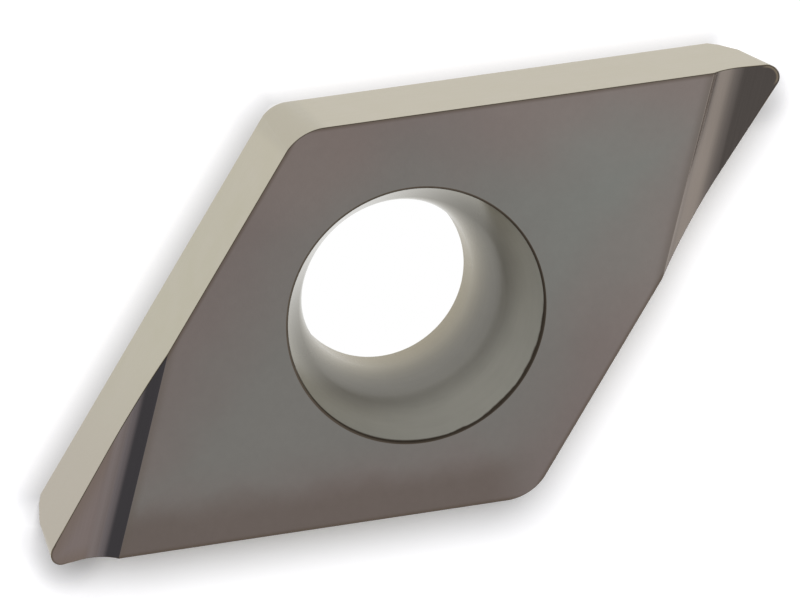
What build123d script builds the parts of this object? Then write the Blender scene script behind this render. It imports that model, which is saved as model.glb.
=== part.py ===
"""Indexable carbide cutting insert: a 55 degree rhombus with ground flanks, a screw hole and two chip grooves.

Frame: origin on the screw hole's axis at the seat face, +Z towards the rake face, +X to one cutting corner.
Half a turn about +Z brings the insert back onto itself, so both ends share every size.
"""

from build123d import *
from math import cos, radians, sin, sqrt, tan
import os

# Plate, in millimetres and degrees
inscribed_diameter = 6.35  # circle that touches the four cutting edges, at the rake face
thickness = 2.38  # seat face to rake face
corner_angle = 55.0  # between the two edges that meet at a cutting corner
clearance_angle = 7.0  # every flank and corner leans inwards below its edge by this much
nose_radius = 0.2  # cutting corners, at the rake face
blunt_radius = 0.8  # the two wide corners, at the rake face
regrind_depth = 0.004  # taken off the main flanks after the wide corners, which leaves a line between them
seat_edge_break = 0.03  # chamfer round the seat face

# Screw hole: a short cylinder that flares into a countersink for a conical screw head
hole_diameter = 2.8
rim_diameter = 4.06  # mouth of the countersink in the rake face
countersink_angle = 52.0  # included angle of its straight upper part
flare_radius = 2.5  # arc from the cylinder to the straight part
seat_hole_break = 0.04  # chamfer where the hole leaves the seat face
rim_break = 0.02  # chamfer at the mouth

# Chip grooves, each ground across a cutting corner by one formed wheel
groove_skew = 17.6  # between the groove and the main cutting edge
groove_radius = 0.55  # edge of the wheel, which leaves the wall that curls the chip
groove_depth = 0.165  # lowest point below the rake face
rake_angle = 14.0  # slope of the flat that runs from the groove up to the nose
nose_drop = 0.015  # how far that flat leaves the nose below the rake face

overrun = 0.5  # how far a cut passes beyond the insert

inscribed_radius = inscribed_diameter / 2
half_corner = corner_angle / 2
minor_flank = 90 - half_corner  # headings that the flanks face, in degrees from +X
main_flank = 90 + half_corner
tip_reach = inscribed_radius / sin(radians(half_corner))
wide_reach = inscribed_radius / cos(radians(half_corner))
lean_per_mm = tan(radians(clearance_angle))
up = Vector(0, 0, 1)


def towards(heading):
    """Unit vector in plan, at this many degrees from +X."""
    return Vector(cos(radians(heading)), sin(radians(heading)), 0)


def both_ends(heading):
    """A heading and the one opposite."""
    return (heading, heading + 180)


def flank_plane(heading, stock=0.0):
    """One ground flank, facing out and down, with some stock still left on it."""
    clearance = radians(clearance_angle)
    edge_point = towards(heading) * (inscribed_radius + stock) + up * thickness
    outwards = towards(heading) * cos(clearance) - up * sin(clearance)
    return Plane(origin=edge_point, x_dir=towards(heading + 90), z_dir=outwards)


def sharp_plate():
    """The plate with sharp corners, and the stock for the last grind still on its main flanks."""
    length = 2 * (tip_reach + overrun)
    width = 2 * (wide_reach + overrun)
    plate = Box(length, width, thickness, align=(Align.CENTER, Align.CENTER, Align.MIN))
    for heading in both_ends(minor_flank):
        plate = split(plate, bisect_by=flank_plane(heading), keep=Keep.BOTTOM)
    for heading in both_ends(main_flank):
        plate = split(plate, bisect_by=flank_plane(heading, regrind_depth), keep=Keep.BOTTOM)
    return plate


def round_corner(body, centre, radius, half_angle, heading):
    """Replaces a corner by a cone that narrows downwards and is tangent to both flanks.

    The plate is cut back to the plane through the two lines of contact, and the cone fills the front.
    """
    apex_depth = radius / lean_per_mm
    apex = centre + up * (thickness - apex_depth)
    foot = max(apex.Z, 0)
    foot_radius = max(radius - thickness * lean_per_mm, 0)
    base = (Align.CENTER, Align.CENTER, Align.MIN)
    cone = Pos(centre.X, centre.Y, foot) * Cone(foot_radius, radius, thickness - foot, align=base)
    contact_rise = towards(heading) * radius * sin(radians(half_angle)) + up * apex_depth
    across = towards(heading + 90)
    contact_plane = Plane(origin=apex, x_dir=across, z_dir=across.cross(contact_rise))
    back = split(body, bisect_by=contact_plane, keep=Keep.BOTTOM)
    return back + split(cone, bisect_by=contact_plane, keep=Keep.TOP)


def rounded_plate():
    """Wide corners first, then the last grind of the main flanks, then the noses."""
    plate = sharp_plate()
    wide_side = -regrind_depth / (2 * sin(radians(half_corner)))
    wide_out = (inscribed_radius - blunt_radius + regrind_depth / 2) / cos(radians(half_corner))
    for heading in both_ends(90):
        centre = towards(heading) * wide_out + towards(heading - 90) * wide_side
        plate = round_corner(plate, centre, blunt_radius, 90 - half_corner, heading)
    for heading in both_ends(main_flank):
        plate = split(plate, bisect_by=flank_plane(heading), keep=Keep.BOTTOM)
    nose_out = (inscribed_radius - nose_radius) / sin(radians(half_corner))
    for heading in both_ends(0):
        plate = round_corner(plate, towards(heading) * nose_out, nose_radius, half_corner, heading)
    return plate


def screw_hole():
    """The hole as one turned form: edge break, cylinder, flare, straight countersink, edge break."""
    bore = hole_diameter / 2
    mouth = rim_diameter / 2
    half_angle = radians(countersink_angle / 2)
    straight_top = (mouth - rim_break, thickness - rim_break)
    flare_top_radius = bore + flare_radius * (1 - cos(half_angle))
    flare_top = (flare_top_radius, straight_top[1] - (straight_top[0] - flare_top_radius) / tan(half_angle))
    flare_foot = (bore, flare_top[1] - flare_radius * sin(half_angle))
    with BuildSketch(Plane.XZ) as section:
        with BuildLine():
            Polyline((0, 0), (bore + seat_hole_break, 0), (bore, seat_hole_break), flare_foot)
            TangentArc(flare_foot, flare_top, tangent=(0, 1))
            Polyline(flare_top, straight_top, (mouth, thickness), (0, thickness), (0, 0))
        make_face()
    return revolve(section.sketch, Axis.Z)


def groove_cut(heading):
    """What the wheel takes off the corner at this heading.

    The section is drawn square to the groove, from the outermost point of the nose inwards.
    """
    slope = radians(rake_angle)
    along = towards(heading + half_corner + groove_skew)
    inwards = towards(heading + half_corner + groove_skew + 90)
    nose_out = (inscribed_radius - nose_radius) / sin(radians(half_corner))
    nose_point = towards(heading) * nose_out - inwards * nose_radius + up * thickness
    wheel_up = groove_radius - groove_depth
    wheel_in = (groove_radius / cos(slope) - wheel_up - nose_drop) / tan(slope)
    wall_top = (wheel_in + sqrt(groove_radius**2 - wheel_up**2), 0)
    lowest = (wheel_in, -groove_depth)
    flat_foot = (wheel_in - groove_radius * sin(slope), wheel_up - groove_radius * cos(slope))
    flat_end = (-overrun, -nose_drop + overrun * tan(slope))
    with BuildSketch(Plane(origin=nose_point, x_dir=inwards, z_dir=along)) as section:
        with BuildLine():
            ThreePointArc(wall_top, lowest, flat_foot)
            Polyline(flat_foot, flat_end, (-overrun, overrun), (wall_top[0], overrun), wall_top)
        make_face()
    return extrude(section.sketch, amount=tip_reach, both=True)


def insert_body():
    """The whole insert: plate, seat edge, screw hole, chip grooves."""
    body = rounded_plate()
    seat_face = body.faces().sort_by(Axis.Z)[0]
    body = chamfer(seat_face.edges(), seat_edge_break)
    body -= screw_hole()
    for heading in both_ends(0):
        body -= groove_cut(heading)
    return body


insert = insert_body()
assert len(insert.solids()) == 1, "the insert is one solid"
os.makedirs("parts", exist_ok=True)
export_step(insert.solids()[0], "parts/insert_body.step")
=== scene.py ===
"""Looks of the carbide insert: its fine surface, its coated and ground finishes, and the plain studio.

Lengths are millimetres in the CAD's own frame until a mesh is done, and metres in Blender. Headings
are degrees in plan from +X. The near end is the cutting corner at -X, and the far end is the one at
+X. The photo's light is uneven, so some colours depend on the place in the object.
"""

from functools import cached_property
from math import acos, atan2, cos, degrees, radians, sin, sqrt, tan

import bmesh
import bpy
from mathutils import Matrix, Vector


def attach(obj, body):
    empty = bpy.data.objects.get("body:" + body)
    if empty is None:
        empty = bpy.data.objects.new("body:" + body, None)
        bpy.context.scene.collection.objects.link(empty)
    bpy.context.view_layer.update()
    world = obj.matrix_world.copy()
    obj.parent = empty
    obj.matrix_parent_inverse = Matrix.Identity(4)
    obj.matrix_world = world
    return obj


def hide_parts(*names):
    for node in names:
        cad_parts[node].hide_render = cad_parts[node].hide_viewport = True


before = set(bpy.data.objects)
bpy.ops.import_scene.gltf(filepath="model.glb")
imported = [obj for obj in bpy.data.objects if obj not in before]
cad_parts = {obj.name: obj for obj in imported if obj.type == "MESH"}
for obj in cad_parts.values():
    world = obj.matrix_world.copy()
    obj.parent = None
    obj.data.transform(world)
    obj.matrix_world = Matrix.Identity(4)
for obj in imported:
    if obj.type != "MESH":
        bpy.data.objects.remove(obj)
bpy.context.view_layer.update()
mm = 0.001

# Plate
inscribed_radius = 3.175
thickness = 2.38
half_corner = 27.5
lean = tan(radians(7.0))  # flanks lean inwards by this much for each mm down
nose_radius = 0.2
least_nose = 0.012  # low down, the nose's cone would come to a point
least_nose_from = 0.25  # height from which it is that narrow
seat_nose = 0.045  # and at the seat
blunt_radius = 0.8
regrind_depth = 0.004
minor_flank = 90 - half_corner  # the headings that the flanks face
main_flank = 90 + half_corner
nose_out = (inscribed_radius - nose_radius) / sin(radians(half_corner))  # middle to a nose's centre

# Screw hole
bore_radius = 1.4
flare_radius = 2.5
flare_foot = 0.532  # height where the flare starts
flare_turn = 26.0  # the flare's arc, and then the slope of the countersink
rim_radius = 2.03
cylinder_ring = 0.26  # height of one more ring of facets on the cylinder
countersink_rings = (1.85, 2.1)  # and of two on the straight part of the countersink

# Chip grooves
groove_skew = 17.6  # between a groove and the main cutting edge
groove_radius = 0.55
groove_depth = 0.165
rake_angle = 14.0
nose_drop = 0.015
groove_line = half_corner + groove_skew  # heading of the far end's groove
groove_side = groove_line + 90  # heading inwards from the far nose, square to its groove
groove_reach = 8.0  # how far its tool goes each way from the nose
tip_out = nose_radius - nose_out * cos(radians(groove_side))  # middle to a nose's tip, on that heading
wheel_up = groove_radius - groove_depth  # rake face to the arc's centre
# A nose's tip to the arc's centre, from there to the wall's top, and both together
wheel_in = (groove_radius / cos(radians(rake_angle)) - wheel_up - nose_drop) / tan(radians(rake_angle))
wall_in = sqrt(groove_radius**2 - wheel_up**2)
groove_width = wheel_in + wall_in

# Rounded edges
seat_edge = 0.03
rim_edge = 0.026
cutting_edge = 0.012
flat_angle = 0.05  # facets that meet at less than this many degrees are joined
smooth_angle = 5.0  # and those at less than this are shaded as one

# Facets
nose_steps = 36
blunt_steps = 28
hole_steps = 240
flare_steps = 24
groove_steps = 48

overrun = 1.0  # how far a cutting solid passes beyond the plate


def towards(heading):
    """Unit vector in plan, at this heading."""
    return Vector((cos(radians(heading)), sin(radians(heading)), 0))


# ---------------------------------------------------------------- nodes


class Nodes:
    """Makes and links the nodes of one tree. Lengths in it are millimetres."""

    def __init__(self, tree):
        self.tree = tree

    @cached_property
    def place(self):
        """Where a point is in its object."""
        return self.scaled(self.node("TexCoord").outputs["Object"], 1 / mm)

    def node(self, kind, **settings):
        """A new node of this kind with these settings."""
        made = self.tree.nodes.new("ShaderNode" + kind)
        for name, value in settings.items():
            setattr(made, name, value)
        return made

    def feed(self, socket, value):
        """Links a socket to another, or sets its number, vector or colour."""
        if isinstance(value, bpy.types.NodeSocket):
            self.tree.links.new(value, socket)
        else:
            socket.default_value = value

    def maths(self, operation, a, b=0.0, c=0.0):
        node = self.node("Math", operation=operation)
        for socket, value in zip(node.inputs, (a, b, c)):
            self.feed(socket, value)
        return node.outputs[0]

    def vector(self, operation, a, b=(0.0, 0.0, 0.0)):
        node = self.node("VectorMath", operation=operation)
        self.feed(node.inputs[0], a)
        self.feed(node.inputs[1], b)
        return node.outputs["Value" if operation in ("DOT_PRODUCT", "LENGTH") else "Vector"]

    def along(self, direction):
        """How far from the origin a point lies in this direction."""
        return self.vector("DOT_PRODUCT", self.place, direction)

    def scaled(self, vector, factor):
        """A vector or colour times a number."""
        node = self.node("VectorMath", operation="SCALE")
        self.feed(node.inputs[0], vector)
        self.feed(node.inputs["Scale"], factor)
        return node.outputs["Vector"]

    def rise(self, value, low, high):
        """0 where value is at low, 1 where it is at high, and smooth between."""
        node = self.node("MapRange", interpolation_type="SMOOTHSTEP")
        self.feed(node.inputs["Value"], value)
        self.feed(node.inputs["From Min"], low)
        self.feed(node.inputs["From Max"], high)
        return node.outputs["Result"]

    def both(self, a, b):
        """A share that is 1 only where both shares are."""
        return self.maths("MULTIPLY", a, b)

    def blend(self, share, a, b, most=1.0):
        """Colour a where share is 0 and b where it is 1, or only this much of b."""
        node = self.node("Mix", data_type="RGBA")
        self.feed(node.inputs["Factor"], share if most == 1.0 else self.maths("MULTIPLY", share, most))
        self.feed(node.inputs[6], a)
        self.feed(node.inputs[7], b)
        return node.outputs[2]

    def fade(self, value, low, high, a, b, most=1.0):
        """Colour a where value is at low, b where it is at high, and smooth between."""
        return self.blend(self.rise(value, low, high), a, b, most)

    def darker(self, colour, share, by):
        """Colour that loses this part of its light where share is 1."""
        return self.scaled(colour, self.maths("MULTIPLY_ADD", share, -by, 1.0))


class Finish(Nodes):
    """A material for one kind of surface."""

    def __init__(self, name, metallic):
        self.material = bpy.data.materials.new(name)
        self.material.use_nodes = True
        super().__init__(self.material.node_tree)
        self.shader = self.tree.nodes["Principled BSDF"]
        self.shader.inputs["Metallic"].default_value = metallic

    def noise_at(self, vector, detail, roughness=0.5):
        node = self.node("TexNoise")
        node.inputs["Scale"].default_value = 1.0
        node.inputs["Detail"].default_value = detail
        node.inputs["Roughness"].default_value = roughness
        self.feed(node.inputs["Vector"], vector)
        return node.outputs["Fac"]

    def noise(self, per_mm, detail=2.0, roughness=0.5, offset=0.0):
        """Noise with this many features to the millimetre along X, Y and Z."""
        moved = self.vector("ADD", self.place, (offset, 0.7 * offset, 0.4 * offset))
        return self.noise_at(self.vector("MULTIPLY", moved, per_mm), detail, roughness)

    def streaks(self, heading, along_per_mm, across_per_mm):
        """Noise drawn out into lines that run at this heading."""
        node = self.node("CombineXYZ")
        self.feed(node.inputs["X"], self.along(towards(heading) * along_per_mm))
        self.feed(node.inputs["Y"], self.along(towards(heading + 90) * across_per_mm))
        return self.noise_at(node.outputs[0], detail=3.0)

    def tone(self, colour, noise, spread):
        """Colour made lighter and darker by noise, by this share each way."""
        return self.scaled(colour, self.maths("MULTIPLY_ADD", noise, 2 * spread, 1 - spread))

    def colour(self, value):
        self.feed(self.shader.inputs["Base Color"], value)

    def roughness(self, noise, low, high):
        self.feed(self.shader.inputs["Roughness"], self.maths("MULTIPLY_ADD", noise, high - low, low))

    def bump(self, height, depth):
        """Relief of this depth in millimetres where height goes from 0 to 1."""
        node = self.node("Bump")
        node.inputs["Distance"].default_value = depth * mm
        node.inputs["Strength"].default_value = 1.0
        self.feed(node.inputs["Height"], height)
        self.feed(self.shader.inputs["Normal"], node.outputs["Normal"])


def tint(red, green, blue):
    return (red, green, blue, 1.0)


def grey(level):
    return tint(level, level, level)


# ---------------------------------------------------------------- finishes


def edge_distance(finish):
    """How far in from the nearest cutting edge a point is, seen in plan."""
    minor = finish.maths("ABSOLUTE", finish.along(towards(minor_flank)))
    main = finish.maths("ABSOLUTE", finish.along(towards(main_flank)))
    return finish.maths("SUBTRACT", inscribed_radius, finish.maths("MAXIMUM", minor, main))


def groove_distance(finish):
    """How far in from the nearer nose's tip a point is, square to that nose's groove."""
    return finish.maths("SUBTRACT", tip_out, finish.maths("ABSOLUTE", finish.along(towards(groove_side))))


def rake_greys(coat, inwards):
    """Grey in the middle of the top, mauve nearer its edges, and lighter at the far end by painted light.
    """
    patches = coat.noise((0.5, 0.5, 0.5))
    middle = coat.rise(coat.maths("MULTIPLY_ADD", patches, 1.6, inwards), 0.7, 2.4)
    # Painted light: the far end's greys are paler than the near end's.
    near_end = coat.blend(middle, tint(0.173, 0.144, 0.135), tint(0.173, 0.167, 0.155))
    far_end = coat.blend(middle, tint(0.206, 0.176, 0.163), tint(0.191, 0.195, 0.181))
    return coat.fade(coat.along(towards(0)), 0.5, 4.0, near_end, far_end)


def brown_edge(coat):
    """Where the top is brown: along one edge, with a border that wanders."""
    wander = coat.noise((1.1, 1.1, 1.1), detail=3.0, offset=7.0)
    from_edge = coat.maths("SUBTRACT", inscribed_radius, coat.along(towards(180 + minor_flank)))
    beside = coat.rise(coat.maths("MULTIPLY_ADD", wander, 0.5, from_edge), 1.20, 0.62)
    return coat.both(beside, coat.rise(coat.along(towards(270 + minor_flank)), 1.9, 0.9))


def rake_finish():
    """The coated top: satin grey, warmer towards the edges, and brown along one of them."""
    coat = Finish("coated_rake_face", metallic=1.0)
    inwards = edge_distance(coat)
    colour = rake_greys(coat, inwards)
    wide_corner = (0.0, 3.4, thickness)
    from_corner = coat.vector("LENGTH", coat.vector("SUBTRACT", coat.place, wide_corner))
    colour = coat.fade(from_corner, 1.8, 0.5, colour, tint(0.196, 0.160, 0.146), most=0.6)
    colour = coat.blend(brown_edge(coat), colour, tint(0.132, 0.108, 0.096), most=0.85)
    colour = coat.tone(colour, coat.noise((0.8, 0.8, 0.8), detail=3.0, offset=5.0), 0.05)
    colour = coat.tone(colour, coat.noise((9, 9, 9), detail=3.0), 0.04)
    beside_wall = coat.rise(groove_distance(coat), groove_width + 0.16, groove_width)
    colour = coat.blend(beside_wall, colour, tint(0.125, 0.104, 0.088), most=0.5)
    edge_line = coat.rise(inwards, 0.080, 0.01)
    coat.colour(coat.blend(edge_line, colour, tint(0.090, 0.066, 0.046), most=0.6))
    grain = coat.noise((22, 22, 22), roughness=0.6)
    coat.roughness(grain, 0.26, 0.34)
    coat.bump(grain, 0.0012)
    return coat.material


def flank_finish():
    """The ground sides: champagne, mottled, with painted light and shade along them, and fine lines along
    the edge.
    """
    ground = Finish("ground_flank", metallic=1.0)
    lines = ground.noise((1.2, 1.2, 45), detail=3.0, roughness=0.6)
    mottle = ground.noise((2.2, 2.2, 1.1), detail=3.0, offset=3.0)
    x = ground.along(towards(0))
    colour = ground.blend(mottle, tint(0.400, 0.368, 0.245), tint(0.440, 0.402, 0.305))
    # Painted shade: darker towards the near end. Painted light: paler towards the far end.
    colour = ground.fade(x, -3.0, -6.2, colour, tint(0.385, 0.338, 0.258))
    colour = ground.fade(x, -2.5, 1.5, colour, tint(0.510, 0.440, 0.320), most=0.35)
    # Painted shade: darker at the wide corners.
    wide_corner_shade = ground.rise(ground.maths("ABSOLUTE", x), 0.45, 0.28)
    colour = ground.darker(colour, wide_corner_shade, by=0.09)
    ground.colour(ground.tone(colour, lines, 0.04))
    ground.roughness(lines, 0.26, 0.36)
    ground.bump(lines, 0.0006)
    return ground.material


def rim_mark(bore, radius, side):
    """The dark line at the hole's mouth: wide and uneven at -Y, narrower at -X and thin elsewhere."""
    uneven = bore.noise((2.5, 2.5, 2.5), detail=4.0, offset=9.0)
    front = bore.maths("MULTIPLY", bore.rise(side(-74.8), 0.35, 0.95), 0.055)
    front = bore.maths("MULTIPLY_ADD", uneven, front, 0.012)
    left = bore.maths("MULTIPLY_ADD", bore.rise(side(205.8), 0.3, 0.9), 0.032, 0.012)
    width = bore.maths("MAXIMUM", front, left)
    from_rim = bore.maths("SUBTRACT", rim_radius, radius)
    return bore.rise(from_rim, width, bore.maths("MULTIPLY", width, 0.6))


def bore_finish():
    """The screw hole, coated but not ground.

    It is warm low down, then comes a cool dark band, and it is pale under the rim, all painted
    reflections.
    The +Y side is darker and more polished, so that it mirrors the floor where the photo shows it near
    white.
    """
    bore = Finish("coated_bore", metallic=0.4)
    bore.shader.inputs["Specular Tint"].default_value = tint(1.0, 0.96, 0.84)
    flat = bore.vector("MULTIPLY", bore.place, (1, 1, 0))
    outwards = bore.vector("NORMALIZE", flat)

    def side(heading):
        """1 on the side of the hole at this heading, and -1 on the side opposite."""
        return bore.vector("DOT_PRODUCT", outwards, towards(heading))

    # Painted reflections: warm low down, a dark band whose height changes round the hole, pale under the
    # rim.
    band_height = bore.maths("MULTIPLY_ADD", side(-85), -0.42, 1.68)
    above_band = bore.maths("SUBTRACT", bore.along((0, 0, 1)), band_height)
    low_down, band = tint(0.280, 0.250, 0.185), tint(0.176, 0.170, 0.154)
    colour = bore.fade(above_band, -1.3, -0.1, low_down, band)
    colour = bore.fade(above_band, -0.05, 0.65, colour, tint(0.380, 0.372, 0.330))
    polished = bore.rise(side(90), -0.1, 0.7)
    colour = bore.darker(colour, polished, by=0.55)
    rings = bore.noise((1.5, 1.5, 14), detail=3.0)
    colour = bore.tone(colour, bore.noise((2.0, 2.0, 1.4), detail=3.0, offset=2.0), 0.06)
    colour = bore.tone(colour, rings, 0.05)
    mark = rim_mark(bore, bore.vector("LENGTH", flat), side)
    bore.colour(bore.blend(mark, colour, tint(0.060, 0.046, 0.034)))
    least_rough = bore.maths("MULTIPLY_ADD", polished, -0.13, 0.20)
    bore.feed(bore.shader.inputs["Roughness"], bore.maths("MULTIPLY_ADD", rings, 0.04, least_rough))
    grain = bore.noise((20, 20, 20))
    bore.bump(bore.maths("MULTIPLY", grain, bore.maths("MULTIPLY_ADD", polished, -0.8, 1.0)), 0.0003)
    return bore.material


def near_groove(groove, across, inwards):
    """Near end's groove in painted light and shade: a brown flat, a paler foot and a nearly black wall.
    """
    flat = groove.fade(inwards, 0.0, 0.3, tint(0.132, 0.104, 0.090), tint(0.146, 0.119, 0.112))
    # Painted light on the foot, and painted shade on the wall.
    foot = groove.fade(across, 0.74, 0.81, tint(0.181, 0.152, 0.146), tint(0.250, 0.218, 0.222))
    wall = groove.fade(across, 0.83, 0.91, foot, tint(0.098, 0.091, 0.098))
    return groove.fade(across, 0.56, 0.68, flat, wall)


def far_groove(groove, across):
    """Far end's groove in painted light and shade: a dark flat and a pale wall, with a paler lip where it
    is deep.
    """
    # Painted light on the wall and its lip, and painted shade on the flat and where the wall is deep.
    wall = groove.fade(across, 0.95, 1.05, tint(0.200, 0.172, 0.152), tint(0.235, 0.200, 0.178))
    deep = groove.rise(groove.along(towards(groove_line)), 3.0, 3.9)
    shaded = groove.both(groove.rise(across, 0.90, 0.99), deep)
    wall = groove.blend(shaded, wall, tint(0.158, 0.135, 0.121))
    lip = groove.fade(across, 1.03, 1.058, tint(0.450, 0.390, 0.345), tint(0.300, 0.257, 0.228))
    wall = groove.blend(groove.both(groove.rise(across, 0.985, 1.02), deep), wall, lip)
    wall = groove.darker(wall, deep, by=0.06)
    return groove.fade(across, 0.58, 0.80, tint(0.123, 0.107, 0.098), wall)


def groove_finish():
    """The chip grooves: ground after the top, so smoother, with lines along the wheel's path.

    A dark line follows the cutting edges. On the far nose a painted highlight makes an arc inside that
    line bright.
    The two ends differ in painted light and shade.
    """
    groove = Finish("ground_groove", metallic=1.0)
    across, inwards = groove_distance(groove), edge_distance(groove)
    x = groove.along(towards(0))
    from_middle = groove.vector("MULTIPLY", groove.vector("ABSOLUTE", groove.place), (1, 1, 0))
    from_nose = groove.vector("LENGTH", groove.vector("SUBTRACT", from_middle, towards(0) * nose_out))
    edge_line = tint(0.050, 0.038, 0.028)
    nose_sector = groove.rise(groove.maths("ABSOLUTE", x), 6.44, 6.50)
    nose_line = groove.both(groove.rise(from_nose, 0.160, 0.190), nose_sector)
    near = groove.blend(nose_line, near_groove(groove, across, inwards), edge_line, most=0.8)
    # Painted highlight: a bright arc inside the far nose's dark line.
    arc_band = groove.both(groove.rise(from_nose, 0.135, 0.155), groove.rise(from_nose, 0.180, 0.165))
    wear_and_highlight = groove.both(arc_band, groove.rise(x, 6.45, 6.55))
    far = groove.blend(wear_and_highlight, far_groove(groove, across), tint(0.38, 0.31, 0.22), most=0.7)
    # The same ground surface at both ends, with different painted light and shade.
    colour = groove.fade(x, -1.0, 1.0, near, far)
    colour = groove.fade(inwards, 0.035, 0.010, colour, edge_line, most=0.7)
    lines = groove.streaks(groove_line, 0.8, 38)
    groove.colour(groove.tone(colour, lines, 0.06))
    groove.roughness(lines, 0.17, 0.24)
    groove.bump(lines, 0.0006)
    return groove.material


def edge_finish():
    """Every rounded edge: dark brown above, pale as the flank below, and rubbed at the noses."""
    edge = Finish("rounded_edge", metallic=1.0)
    normal = edge.node("TexCoord").outputs["Normal"]
    facing_up = edge.rise(edge.vector("DOT_PRODUCT", normal, (0, 0, 1)), 0.15, 0.55)
    colour = edge.blend(facing_up, tint(0.400, 0.368, 0.260), tint(0.085, 0.068, 0.052))
    wear_and_highlight = edge.rise(edge.noise((3, 3, 3), detail=4.0), 0.42, 0.62)
    at_noses = edge.rise(edge.maths("ABSOLUTE", edge.along(towards(0))), 5.8, 6.5)
    edge.colour(edge.blend(edge.both(wear_and_highlight, at_noses), colour, tint(0.36, 0.28, 0.18), most=0.35))
    edge.roughness(wear_and_highlight, 0.40, 0.28)
    edge.bump(edge.noise((30, 30, 30)), 0.001)
    return edge.material


def seat_finish():
    """The face that rests on the holder: ground flat, with straight lines across."""
    seat = Finish("ground_seat", metallic=1.0)
    lines = seat.streaks(main_flank, 0.5, 26)
    colour = seat.blend(seat.noise((0.8, 0.8, 0.8)), tint(0.36, 0.33, 0.28), tint(0.39, 0.36, 0.31))
    seat.colour(seat.tone(colour, lines, 0.08))
    seat.roughness(lines, 0.28, 0.40)
    seat.bump(lines, 0.001)
    return seat.material


# ---------------------------------------------------------------- surface


def arc(centre, radius, start, end, steps):
    """Points round a centre from one heading to another, both included."""
    return [centre + towards(start + (end - start) * i / steps) * radius for i in range(steps + 1)]


def outline(height, least):
    """The plate's section at a height, anticlockwise: nose, wide corner, nose, wide corner."""
    drop = (thickness - height) * lean
    nose = max(nose_radius - drop, least)
    nose_at = (inscribed_radius - drop - nose) / sin(radians(half_corner))
    blunt = blunt_radius - drop
    crease = main_flank - degrees(acos(1 - regrind_depth / blunt))
    wide_side = -regrind_depth / (2 * sin(radians(half_corner)))
    wide_out = (inscribed_radius - blunt_radius + regrind_depth / 2) / cos(radians(half_corner))
    points = []
    for turn in (0, 180):
        points += arc(towards(turn) * nose_at, nose, turn - minor_flank, turn + minor_flank, nose_steps)
        centre = towards(turn + 90) * wide_out + towards(turn) * wide_side
        points += arc(centre, blunt, turn + minor_flank, turn + crease, blunt_steps)
    return [p + Vector((0, 0, height)) for p in points]


def stack(name, rings, side, low_end, high_end):
    """A closed solid through rings of equally many points, with materials for its side and its ends."""
    count = len(rings[0])
    mesh = bpy.data.meshes.new(name)
    faces = [range(count - 1, -1, -1), range(count * (len(rings) - 1), count * len(rings))]
    for level in range(len(rings) - 1):
        low, high = level * count, (level + 1) * count
        for i in range(count):
            j = (i + 1) % count
            faces.append((low + i, low + j, high + j, high + i))
    mesh.from_pydata([p for ring in rings for p in ring], [], [list(f) for f in faces])
    for material in (side, low_end, high_end):
        mesh.materials.append(material)
    mesh.polygons[0].material_index = 1  # the low end
    mesh.polygons[1].material_index = 2  # the high end
    merged = bmesh.new()
    merged.from_mesh(mesh)
    bmesh.ops.remove_doubles(merged, verts=merged.verts, dist=1e-6)
    bmesh.ops.recalc_face_normals(merged, faces=merged.faces)
    merged.to_mesh(mesh)
    merged.free()
    made = bpy.data.objects.new(name, mesh)
    bpy.context.scene.collection.objects.link(made)
    return made


def plate(flank, seat, rake):
    """The whole plate without hole or grooves."""
    cone_foot = thickness - (nose_radius - least_nose) / lean
    rings = [outline(0.0, seat_nose)]
    rings += [outline(height, least_nose) for height in (least_nose_from, cone_foot, thickness)]
    return stack("plate", rings, flank, seat, rake)


def hole_tool(bore):
    """What the screw hole takes away: a cylinder, a flare and a countersink."""
    profile = [(bore_radius, -overrun), (bore_radius, cylinder_ring)]
    for i in range(flare_steps + 1):
        angle = radians(flare_turn * i / flare_steps)
        out, up = flare_radius * (1 - cos(angle)), flare_radius * sin(angle)
        profile.append((bore_radius + out, flare_foot + up))
    slope = tan(radians(flare_turn))
    flare_top_radius, flare_top = profile[-1]
    for height in (*countersink_rings, thickness + overrun):
        profile.append((flare_top_radius + (height - flare_top) * slope, height))
    rings = [
        [towards(360 * i / hole_steps) * radius + Vector((0, 0, height)) for i in range(hole_steps)]
        for radius, height in profile
    ]
    return stack("hole", rings, bore, bore, bore)


def groove_tool(heading, ground):
    """What the wheel takes off the corner at this heading. Its section is square to the groove."""
    slope = radians(rake_angle)
    along, inwards = towards(heading + groove_line), towards(heading + groove_side)
    tip = towards(heading) * nose_out - inwards * nose_radius + Vector((0, 0, thickness))
    section = [
        (-overrun, overrun * tan(slope) - nose_drop),
        (-overrun, overrun),
        (groove_width, overrun),
    ]
    wall_angle, foot_angle = atan2(-wheel_up, wall_in), radians(-90) - slope
    for i in range(groove_steps + 1):
        angle = wall_angle + (foot_angle - wall_angle) * i / groove_steps
        section.append((wheel_in + groove_radius * cos(angle), wheel_up + groove_radius * sin(angle)))
    rings = [
        [tip + along * end + inwards * u + Vector((0, 0, v)) for u, v in section]
        for end in (-groove_reach, groove_reach)
    ]
    return stack("groove", rings, ground, ground, ground)


def apply_modifiers(body):
    """Makes the modifiers' result the body's own mesh."""
    shown = body.evaluated_get(bpy.context.evaluated_depsgraph_get())
    mesh = bpy.data.meshes.new_from_object(shown)
    body.modifiers.clear()
    body.data = mesh


def cut(body, tools):
    """Takes the tools away from the body. A cut surface gets its tool's material."""
    for tool in tools:
        modifier = body.modifiers.new(tool.name, "BOOLEAN")
        modifier.operation = "DIFFERENCE"
        modifier.solver = "EXACT"
        modifier.material_mode = "TRANSFER"
        modifier.object = tool
    apply_modifiers(body)
    for tool in tools:
        bpy.data.objects.remove(tool)


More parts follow.
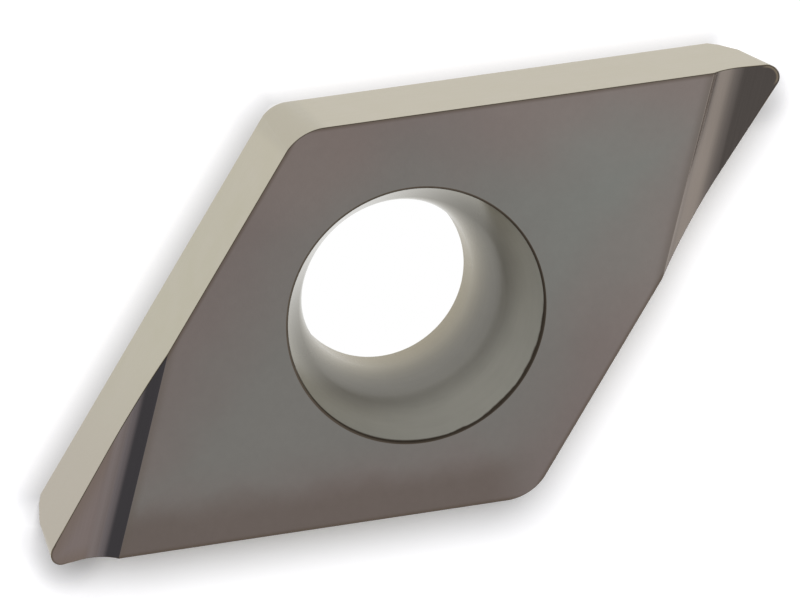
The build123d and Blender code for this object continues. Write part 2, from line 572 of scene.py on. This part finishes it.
def round_edges(body, widths, worn):
    """Rounds the edges between two materials to their pair's width, and keeps flat faces shaded flat."""
    names = [material.name for material in body.data.materials]
    widest = max(widths.values())
    body.data.materials.append(worn)
    edges = bmesh.new()
    edges.from_mesh(body.data)
    bmesh.ops.dissolve_limit(
        edges, angle_limit=radians(flat_angle), verts=edges.verts, edges=edges.edges, delimit={"MATERIAL"}
    )
    weight = edges.edges.layers.float.new("bevel_weight_edge")
    for edge in edges.edges:
        pair = frozenset(names[face.material_index] for face in edge.link_faces)
        width = widths.get(pair, 0.0)
        edge[weight] = width / widest
        edge.smooth = width > 0 or edge.calc_face_angle() < radians(smooth_angle)
    for face in edges.faces:
        face.smooth = True
    edges.to_mesh(body.data)
    edges.free()
    bevel = body.modifiers.new("round", "BEVEL")
    bevel.limit_method = "WEIGHT"
    bevel.width = widest
    bevel.segments = 3
    bevel.use_clamp_overlap = False
    bevel.material = len(names)
    normals = body.modifiers.new("normals", "WEIGHTED_NORMAL")
    normals.keep_sharp = True
    apply_modifiers(body)


def insert_surface():
    """The visible insert, in place of the CAD's coarser facets.

    The tops of the groove walls have no width here, so they stay sharp, as in the photo.
    """
    flank, seat, rake = flank_finish(), seat_finish(), rake_finish()
    bore, groove = bore_finish(), groove_finish()
    body = plate(flank, seat, rake)
    cut(body, [hole_tool(bore), groove_tool(0, groove), groove_tool(180, groove)])
    widths = {
        frozenset((flank.name, seat.name)): seat_edge,
        frozenset((bore.name, seat.name)): seat_edge,
        frozenset((bore.name, rake.name)): rim_edge,
        frozenset((flank.name, rake.name)): cutting_edge,
        frozenset((flank.name, groove.name)): cutting_edge,
    }
    round_edges(body, widths, edge_finish())
    body.name = "insert_surface"
    body.data.transform(Matrix.Scale(mm, 4))
    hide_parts("insert_body")
    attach(body, "root")


# ---------------------------------------------------------------- studio


def place_camera():
    """A long lens from the +Y side and above, rolled so that one wide corner points up and left."""
    aim = Vector((-0.0848, 0.3702, 2.38))
    distance = 149.434
    azimuth, elevation, roll = radians(98.3408), radians(66.4547), radians(-138.2525)
    back = Vector((cos(elevation) * cos(azimuth), cos(elevation) * sin(azimuth), sin(elevation)))
    level = Vector((0, 0, 1)).cross(back).normalized()
    above = back.cross(level)
    up = above * cos(roll) + level * sin(roll)
    right = level * cos(roll) - above * sin(roll)
    data = bpy.data.cameras.new("camera")
    data.lens = 444.9
    data.sensor_width = 36
    data.clip_start = 0.01
    data.clip_end = 10
    camera = bpy.data.objects.new("camera", data)
    camera.matrix_world = Matrix((right, up, back)).transposed().to_4x4()
    camera.location = (aim + back * distance) * mm
    bpy.context.scene.collection.objects.link(camera)
    bpy.context.scene.camera = camera


def studio_world():
    """White behind the object. What lights it is dimmer, and what it mirrors is one large soft box."""
    box_centre = Vector((0.45, -0.78, 0.43)).normalized()
    # How bright each direction is, by the cosine of its angle from the box's centre
    brightness = ((0.0, 0.45), (0.30, 0.46), (0.52, 0.90), (0.73, 1.02), (1.0, 1.35))
    world = bpy.data.worlds.new("studio")
    bpy.context.scene.world = world
    world.use_nodes = True
    sky = Nodes(world.node_tree)
    rays = sky.node("LightPath").outputs
    facing = sky.vector("DOT_PRODUCT", sky.node("TexCoord").outputs["Generated"], box_centre)
    soft_box = sky.node("ValToRGB")
    sky.feed(soft_box.inputs["Fac"], facing)
    soft_box.color_ramp.interpolation = "EASE"
    stops = soft_box.color_ramp.elements
    while len(stops) < len(brightness):
        stops.new(0.5)
    for stop, (cosine, level) in zip(stops, brightness):
        stop.position = cosine
        stop.color = grey(level)
    lit = sky.blend(rays["Is Glossy Ray"], grey(0.3), soft_box.outputs["Color"])
    seen = sky.blend(rays["Is Camera Ray"], lit, grey(1.0))
    sky.feed(sky.tree.nodes["Background"].inputs["Color"], seen)


def key_lamp():
    """A soft lamp from behind the camera's top, which gives the shadow its side."""
    towards_lamp = Vector((0.02, 0.50, 0.87))
    data = bpy.data.lights.new("key", "SUN")
    data.energy = 2.6
    data.angle = radians(22)
    lamp = bpy.data.objects.new("key", data)
    lamp.rotation_euler = towards_lamp.to_track_quat("Z", "Y").to_euler()
    lamp.visible_glossy = False
    bpy.context.scene.collection.objects.link(lamp)


def line_distance(floor, point, start, end):
    """How far a point of the floor is from the straight line between two ends."""
    run = end - start
    from_start = floor.vector("SUBTRACT", point, start)
    share = floor.vector("DOT_PRODUCT", from_start, run / run.length_squared)
    share = floor.maths("MINIMUM", floor.maths("MAXIMUM", share, 0.0), 1.0)
    return floor.vector("LENGTH", floor.vector("SUBTRACT", from_start, floor.scaled(run, share)))


def seat_shade(floor):
    """How much paint the floor keeps round the seat: least at its outline, and less at the near end."""
    darkest_near, darkest_far = 0.425, 0.26
    fade_per_mm = 0.9
    seat_radius = inscribed_radius - thickness * lean
    tip = Vector((seat_radius / sin(radians(half_corner)), 0, 0))
    wide = Vector((0, seat_radius / cos(radians(half_corner)), 0))
    distance = line_distance(floor, floor.vector("ABSOLUTE", floor.place), tip, wide)
    far_end = floor.rise(floor.along(towards(0)), -0.6, 0.3)
    darkest = floor.maths("MULTIPLY_ADD", far_end, darkest_far - darkest_near, darkest_near)
    shade = floor.maths("MULTIPLY_ADD", distance, -fade_per_mm, darkest)
    return floor.maths("SUBTRACT", 1.0, floor.maths("MAXIMUM", shade, 0.0))


def nose_shade(floor, start, end, outer, inner, depth):
    """How much paint the floor keeps by a line: all of it beyond outer, and depth less within inner."""
    distance = line_distance(floor, floor.place, Vector((*start, 0)), Vector((*end, 0)))
    return floor.maths("MULTIPLY_ADD", floor.rise(distance, outer, inner), -depth, 1.0)


def contact_shade(floor):
    """How much paint the floor keeps round the seat and under both noses.

    The photo has this soft shade there, and the lamp alone does not make it.
    """
    near_nose = nose_shade(floor, (-6.36, -0.98), (-6.40, -0.75), outer=0.80, inner=0.25, depth=0.27)
    far_nose = nose_shade(floor, (6.55, -1.08), (6.47, -1.28), outer=0.60, inner=0.12, depth=0.26)
    return floor.both(seat_shade(floor), floor.both(near_nose, far_nose))


def floor_finish():
    """Pale paint that the camera sees overexposed, and plain white in reflections and under the hole."""
    material = bpy.data.materials.new("white_floor")
    material.use_nodes = True
    material.cycles.emission_sampling = "NONE"
    material.node_tree.nodes.clear()
    floor = Nodes(material.node_tree)
    rays = floor.node("LightPath").outputs
    paint = floor.blend(rays["Is Camera Ray"], grey(0.8), tint(1.13, 1.13, 1.16))
    painted = floor.node("BsdfDiffuse")
    floor.feed(painted.inputs["Color"], floor.scaled(paint, contact_shade(floor)))
    white = floor.node("Emission")
    white.inputs["Strength"].default_value = 1.0
    # Under the hole the floor glows plain white for every ray, so it also lights the bore from below.
    hole_reach = bore_radius + 0.05
    under_hole = floor.maths("LESS_THAN", floor.vector("LENGTH", floor.place), hole_reach)
    mixed = floor.node("MixShader")
    floor.feed(mixed.inputs["Fac"], floor.maths("MAXIMUM", rays["Is Glossy Ray"], under_hole))
    floor.feed(mixed.inputs[1], painted.outputs[0])
    floor.feed(mixed.inputs[2], white.outputs[0])
    floor.feed(floor.node("OutputMaterial").inputs["Surface"], mixed.outputs[0])
    return material


def white_floor():
    """The floor, which keeps the shadow and is not part of the object."""
    half = 1.0  # metres
    corners = [(-half, -half, 0), (half, -half, 0), (half, half, 0), (-half, half, 0)]
    mesh = bpy.data.meshes.new("floor")
    mesh.from_pydata(corners, [], [(0, 1, 2, 3)])
    mesh.materials.append(floor_finish())
    surface = bpy.data.objects.new("floor", mesh)
    bpy.context.scene.collection.objects.link(surface)


place_camera()
insert_surface()
studio_world()
key_lamp()
white_floor()
bpy.context.scene.view_settings.view_transform = "Standard"
